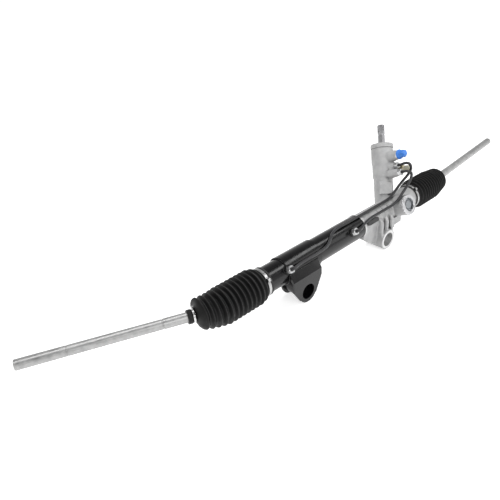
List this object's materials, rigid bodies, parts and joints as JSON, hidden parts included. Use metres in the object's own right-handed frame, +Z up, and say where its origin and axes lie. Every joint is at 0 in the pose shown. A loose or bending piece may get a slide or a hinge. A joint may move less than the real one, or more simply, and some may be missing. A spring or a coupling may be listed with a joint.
{
  "type": "steering gear",
  "caption": "Hydraulic rack and pinion steering gear with valve tower, cylinder tube, bellows, tie rods and side mounting bores.",
  "frame": {"origin": "front face centre of the pinion housing's mounting bore", "axes": "+X along the rack towards the pinion end, -Y the side the mounting bolts enter, +Z up"},
  "size_m": [1.2817, 0.1671, 0.2295],
  "materials": {
    "cast_aluminium": "cast, fine grain",
    "gloss_black_paint": "gloss",
    "black_coated_steel": "satin",
    "zinc_steel": "bright",
    "machined_steel": "satin",
    "forged_steel": "satin grey",
    "black_rubber": "matte",
    "blue_plastic": "semi gloss",
    "pale_plastic": "semi gloss",
    "yellow_zinc": "passivated",
    "machined_aluminium": "turned",
    "seal_rubber": "matte",
    "liner_plastic": "matte",
    "dark_steel": "satin"
  },
  "bodies": {
    "housing": {"pinion_housing": "cast_aluminium", "cylinder_tube": "gloss_black_paint", "tube_sleeve": "gloss_black_paint", "mount_bracket": "gloss_black_paint", "bracket_collar": "gloss_black_paint", "tube_port_bosses": "gloss_black_paint", "left_pipe": "black_coated_steel", "right_pipe": "black_coated_steel", "tube_pipe_nuts": "zinc_steel", "valve_pipe_nuts": "zinc_steel", "pipe_pad": "black_rubber", "return_fitting": "yellow_zinc", "return_cap": "pale_plastic", "supply_cap": "blue_plastic", "yoke_plug": "machined_aluminium", "yoke_lock_ring": "machined_aluminium", "yoke_spring": "dark_steel", "rack_yoke": "machined_aluminium", "yoke_liner": "liner_plastic", "outer_bulkhead": "machined_aluminium", "inner_bulkhead": "machined_aluminium", "rack_seals": "seal_rubber", "rack_end_bush": "pale_plastic", "lower_bearing_outer_race": "machined_steel", "needle_bearing": "machined_steel", "pinion_oil_seal": "seal_rubber", "pinion_end_cap": "machined_steel", "upper_shaft_bearing": "machined_steel", "input_shaft_seal": "seal_rubber", "dust_cover": "seal_rubber", "left_bellows": "black_rubber", "right_bellows": "black_rubber", "left_bellows_clamp": "zinc_steel", "right_bellows_clamp": "zinc_steel"},
    "rack": {"rack_bar": "machined_steel", "rack_piston": "machined_aluminium", "piston_ring": "seal_rubber", "left_ball_socket": "dark_steel", "right_ball_socket": "dark_steel"},
    "left_seat": {"left_ball_seat": "pale_plastic"},
    "right_seat": {"right_ball_seat": "pale_plastic"},
    "left_rod": {"left_tie_rod": "forged_steel", "left_rod_clamp": "zinc_steel"},
    "right_rod": {"right_tie_rod": "forged_steel", "right_rod_clamp": "zinc_steel"},
    "pinion": {"pinion_shaft": "machined_steel", "lower_bearing_inner_race": "machined_steel", "pinion_lock_nut": "machined_steel", "valve_sleeve": "machined_steel", "valve_rings": "seal_rubber"},
    "input": {"input_shaft": "machined_steel", "torsion_bar": "dark_steel"}
  },
  "joints": [
    {"name": "rack_slide", "type": "slide", "parent": "housing", "child": "rack", "axis": [1, 0, 0], "range_m": [-0.0595, 0.0755], "deforming": ["left_bellows", "right_bellows"]},
    {"name": "left_seat_yaw", "type": "hinge", "parent": "rack", "child": "left_seat", "pos_m": [-0.453, 0.038, 0.0465], "axis": [0, 0, 1], "range_deg": [-5.4, 44.2]},
    {"name": "left_rod_pitch", "type": "hinge", "parent": "left_seat", "child": "left_rod", "pos_m": [-0.453, 0.038, 0.0465], "axis": [0.3322, 0.9432, 0], "range_deg": [-17, 12.8]},
    {"name": "right_seat_yaw", "type": "hinge", "parent": "rack", "child": "right_seat", "pos_m": [0.2185, 0.038, 0.0465], "axis": [0, 0, 1], "range_deg": [-25.6, 24.2]},
    {"name": "right_rod_pitch", "type": "hinge", "parent": "right_seat", "child": "right_rod", "pos_m": [0.2185, 0.038, 0.0465], "axis": [0.0122, -0.9999, 0], "range_deg": [-19.5, 10.3]},
    {"name": "pinion_turn", "type": "hinge", "parent": "housing", "child": "pinion", "pos_m": [0.057, 0.05275, 0.03993], "axis": [0.3665, 0.3784, 0.85], "range_deg": [-445, 563]},
    {"name": "valve_twist", "type": "hinge", "parent": "pinion", "child": "input", "pos_m": [0.057, 0.05275, 0.03993], "axis": [0.3665, 0.3784, 0.85], "range_deg": [-4, 4], "stiffness_Nm_per_rad": 85}
  ],
  "couplings": [
    {"joint": "pinion_turn", "follows": "rack_slide", "rad_per_m": 129.22}
  ]
}
